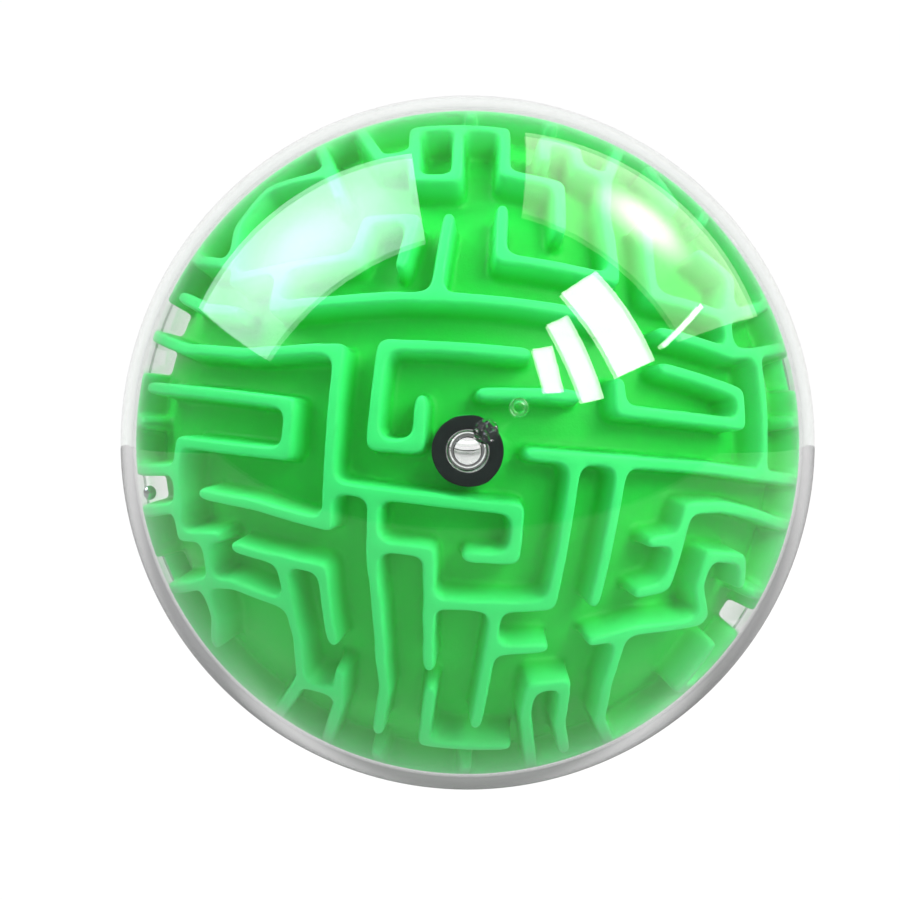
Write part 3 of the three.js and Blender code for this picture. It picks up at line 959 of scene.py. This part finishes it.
def clear_channel(piece):
    """Eases the walls back from the way of the steel ball."""
    joint = frame["joints"][0]
    low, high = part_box("steel_ball")
    start = (Vector(low) + Vector(high)) / 2
    first, last = joint["range_deg"]
    places = round((last - first) / CHANNEL_STEP) + 1
    way = KDTree(places)
    for index in range(places):
        angle = math.radians(first + index * CHANNEL_STEP)
        way.insert(Matrix.Rotation(angle, 3, Vector(joint["axis"])) @ start, index)
    way.balance()
    reach = (BALL_RADIUS + CHANNEL_ROOM) * MM
    for vertex in piece.data.vertices:
        centre, _, apart = way.find(vertex.co)
        if apart < reach:
            vertex.co = centre + (vertex.co - centre) * reach / apart


def fit(piece, body, node, slot):
    piece.data.materials.clear()
    piece.data.materials.append(finishes[slot])
    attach(piece, body)
    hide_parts(node)


front_casing = casing_half("front_casing_half", FRONT, False)
add_pin_mark(front_casing)
add_gate_mark(front_casing)
smooth(front_casing, 40)
fit(front_casing, "casing", "front_shell", "clear_casing")
rear_casing = casing_half("rear_casing_half", REAR, True)
smooth(rear_casing, 40)
fit(rear_casing, "casing", "rear_shell", "clear_casing")
front_maze = maze_half("front_maze_half", "front_maze_core", FRONT, False)
clear_channel(front_maze)
fit(front_maze, "casing", "front_maze_core", "green_maze")
polish_bore(front_maze)
rear_maze = maze_half("rear_maze_half", "rear_maze_core", REAR, True)
fit(rear_maze, "casing", "rear_maze_core", "green_maze")
polish_bore(rear_maze)
fit(washer("front_rubber_washer", FRONT), "casing", "front_washer", "black_rubber")
fit(washer("rear_rubber_washer", REAR), "casing", "rear_washer", "black_rubber")
fit(ball("steel_maze_ball", "steel_ball"), "rolling_ball", "steel_ball", "polished_steel")

# ---------------------------------------------------------------- table
TABLE_FRONT = -160  # the table ends a little in front of the puzzle
TABLE_BACK = 2400
TABLE_WIDTH = 3000
TABLE_GAP = 0.3  # under the puzzle

deselect()
bpy.ops.mesh.primitive_plane_add(size=1)
table = bpy.context.object
table.name = "table_top"
for vertex in table.data.vertices:
    across = vertex.co.x * TABLE_WIDTH
    along = TABLE_FRONT if vertex.co.y < 0 else TABLE_BACK
    vertex.co = Vector((across, along, -CASING_RADIUS - TABLE_GAP)) * MM


def white_table():
    """A bright table top, evenly white where it is seen straight, whose glow in the casing is a
    painted reflection.

    A ray that has been turned back by the casing's inner side finds the painted glow bright only
    behind the puzzle and near its foot, as the room is; the table's direct reflection is painted
    dark, a little brighter away from the foot.
    """
    made, finish = material("white table top")
    place = finish.place()
    speckle = finish.noise(place, 300, 3.0)
    foot = finish.distance((0, 0, -CASING_RADIUS), place)
    from_front = finish.distance((0, -200, -CASING_RADIUS), place)
    way = finish.node("ShaderNodeVectorMath", {"operation": "NORMALIZE"}, {0: place})
    parts = finish.node("ShaderNodeSeparateXYZ", {}, {0: way.outputs[0]})
    # Painted reflection: a glow near the puzzle's foot and behind it, for rays turned back by the
    # casing.
    painted_glow_near_foot = finish.step(from_front, 182, 204, 0, 0.9) * finish.step(foot, 20, 90, 1, 0)
    behind = finish.step(parts.outputs["Y"], 0.6, 0.92, 0.2, 0.95)
    rays = finish.node("ShaderNodeLightPath")
    straight = 1 - Amount(finish, rays.outputs["Glossy Depth"]).smaller(1)
    through = Amount(finish, rays.outputs["Is Transmission Ray"])
    through = through * straight.larger(painted_glow_near_foot.larger(behind))
    seen = Amount(finish, rays.outputs["Is Camera Ray"]).larger(through)
    shining = (seen * 0.95).larger(rays.outputs["Is Diffuse Ray"])
    # Painted reflection: the table's dark colour and its glow, graded outward from the foot, are
    # what the casing mirrors.
    painted_reflection_tone = finish.mixed(
        finish.step(foot, 90, 420), colour(0.2, 0.2, 0.2), colour(0.3, 0.3, 0.3)
    )
    painted = finish.node(
        "ShaderNodeBsdfPrincipled",
        {},
        {
            "Base Color": finish.mixed(speckle, colour(0.03, 0.03, 0.03), colour(0.04, 0.04, 0.04)),
            "Roughness": 0.7,
            "Specular IOR Level": 0.1,
            "Emission Color": painted_reflection_tone,
            "Emission Strength": 1.0,
        },
    )
    glow = finish.node("ShaderNodeEmission", {}, {"Color": colour(1, 1, 1), "Strength": 1.08})
    shader = finish.node(
        "ShaderNodeMixShader", {}, {0: shining, 1: painted.outputs[0], 2: glow.outputs[0]}
    )
    finish.surface(shader.outputs[0])
    return made


table.data.materials.append(white_table())


# ---------------------------------------------------------------- lights
def panel(name, centre, facing, across, width, height, tint):
    """A rectangular light, in metres, with its width along the given direction."""
    lamp = bpy.data.lights.new(name, "AREA")
    lamp.shape = "RECTANGLE"
    lamp.size = width
    lamp.size_y = height
    lamp.energy = width * height * math.pi
    lamp.color = tint
    holder = bpy.data.objects.new(name, lamp)
    bpy.context.scene.collection.objects.link(holder)
    back = -Vector(facing).normalized()
    right = Vector(across)
    right = (right - back * right.dot(back)).normalized()
    turn = Matrix((right, back.cross(right), back)).transposed().to_4x4()
    holder.matrix_world = Matrix.Translation(centre) @ turn
    holder.visible_camera = False
    return holder


def shade_panel(holder, centre, middle, edge, reach):
    """The panel's brightness falls from its middle towards its edge."""
    finish = Finish(holder.data)
    spot = finish.node("ShaderNodeNewGeometry").outputs["Parametric"]
    away = finish.node(
        "ShaderNodeVectorMath", {"operation": "DISTANCE"}, {0: spot, 1: (*centre, 0)}
    )
    strength = finish.step(away.outputs["Value"], 0, reach, middle, edge)
    glow = finish.node("ShaderNodeEmission", {}, {"Strength": strength})
    finish.node("ShaderNodeOutputLight", {}, {"Surface": glow.outputs[0]})


def ray(x, y, z, distance):
    return Vector((x, y, z)).normalized() * distance


left_centre = ray(-0.62, -0.08, 0.78, 0.5)
left_box = panel("left softbox", left_centre, -left_centre, (0, 1, 0.1), 0.39, 0.51, (0.8, 0.92, 1))
shade_panel(left_box, (0.42, 0.5), 8.5, 3.5, 0.6)
right_centre = ray(0.62, 0.14, 0.77, 0.6)
right_box = panel("right softbox", right_centre, -right_centre, (0, 1, 0), 0.5, 0.6, (1, 0.96, 0.86))
shade_panel(right_box, (0.5, 0.5), 9, 1.7, 0.26)
fill_centre = Vector((0, -0.5, -0.55))
fill = panel("front fill", fill_centre, -fill_centre, (1, 0, 0), 0.9, 0.5, (1, 1, 1))
shade_panel(fill, (0.5, 0.5), 2.4, 2.4, 1)
fill.visible_glossy = False
fill.visible_transmission = False

# The window's panes on a plane one metre away: place across and up, width, height and lean.
WINDOW_WAY = Vector((0.63, -0.56, 0.54)).normalized()
WINDOW_PANES = [
    ("wide pane", 0.05, 0.02, 0.26, 0.49, 16),
    ("middle pane", -0.204, -0.135, 0.135, 0.455, 7),
    ("narrow pane", -0.388, -0.157, 0.12, 0.26, -5),
    ("bright edge", 0.555, 0.006, 0.53, 0.022, 27),
]
window_across = Vector((0, 0, 1)).cross(WINDOW_WAY).normalized()
window_up = WINDOW_WAY.cross(window_across)
for pane, across, up, width, height, lean in WINDOW_PANES:
    lean = math.radians(lean)
    centre = WINDOW_WAY + window_across * across + window_up * up
    along = window_across * math.cos(lean) + window_up * math.sin(lean)
    glazed = panel(pane, centre, -WINDOW_WAY, along, width, height, (1, 1, 1))
    shade_panel(glazed, (0.5, 0.5), 14, 14, 1)

# ---------------------------------------------------------------- surroundings
world = bpy.data.worlds.new("studio")
bpy.context.scene.world = world
studio = Finish(world)


def background(strength, tint=(1, 1, 1)):
    node = studio.node("ShaderNodeBackground", {}, {"Color": colour(*tint), "Strength": strength})
    return node.outputs[0]


def chosen(share, first, second):
    node = studio.node("ShaderNodeMixShader", {}, {0: share, 1: first, 2: second})
    return node.outputs[0]


way = studio.node("ShaderNodeTexCoord").outputs["Generated"]
rearward = studio.node("ShaderNodeSeparateXYZ", {}, {0: way}).outputs["Y"]
rays = studio.node("ShaderNodeLightPath")
# What the casing mirrors: dim in front, and brighter behind the puzzle.
room = background(
    studio.step(rearward, -0.15, 0.65, 0.05, 0.2) + studio.step(rearward, 0.75, 0.98, 0, 0.75)
)
soft = background(0.6)
backdrop = background(1.02)
straight = 1 - Amount(studio, rays.outputs["Glossy Depth"]).smaller(1)
turned_back = studio.step(rearward, 0.6, 0.92, 0.2, 1.4)
through = background(straight * 0.92 + (1 - straight) * turned_back, (0.96, 1, 0.97))
lit = chosen(rays.outputs["Is Diffuse Ray"], room, soft)
clear = chosen(rays.outputs["Is Transmission Ray"], lit, through)
open_view = chosen(rays.outputs["Is Camera Ray"], clear, backdrop)
studio.node("ShaderNodeOutputWorld", {}, {"Surface": open_view})
bpy.context.scene.view_settings.view_transform = "Standard"

# ---------------------------------------------------------------- camera
CAMERA_DISTANCE = 0.3
CAMERA_HEIGHT_ANGLE = math.radians(1.2)
lens = bpy.data.cameras.new("camera")
camera = bpy.data.objects.new("camera", lens)
bpy.context.scene.collection.objects.link(camera)
back = Vector((0, -math.cos(CAMERA_HEIGHT_ANGLE), math.sin(CAMERA_HEIGHT_ANGLE)))
camera.location = back * CAMERA_DISTANCE
camera.rotation_mode = "QUATERNION"
camera.rotation_quaternion = (-back).to_track_quat("-Z", "Y")
lens.sensor_width = 36
lens.lens = 68.04
lens.shift_x = -0.0196
lens.shift_y = -0.0084
lens.clip_start = 0.005
lens.clip_end = 20
bpy.context.scene.camera = camera
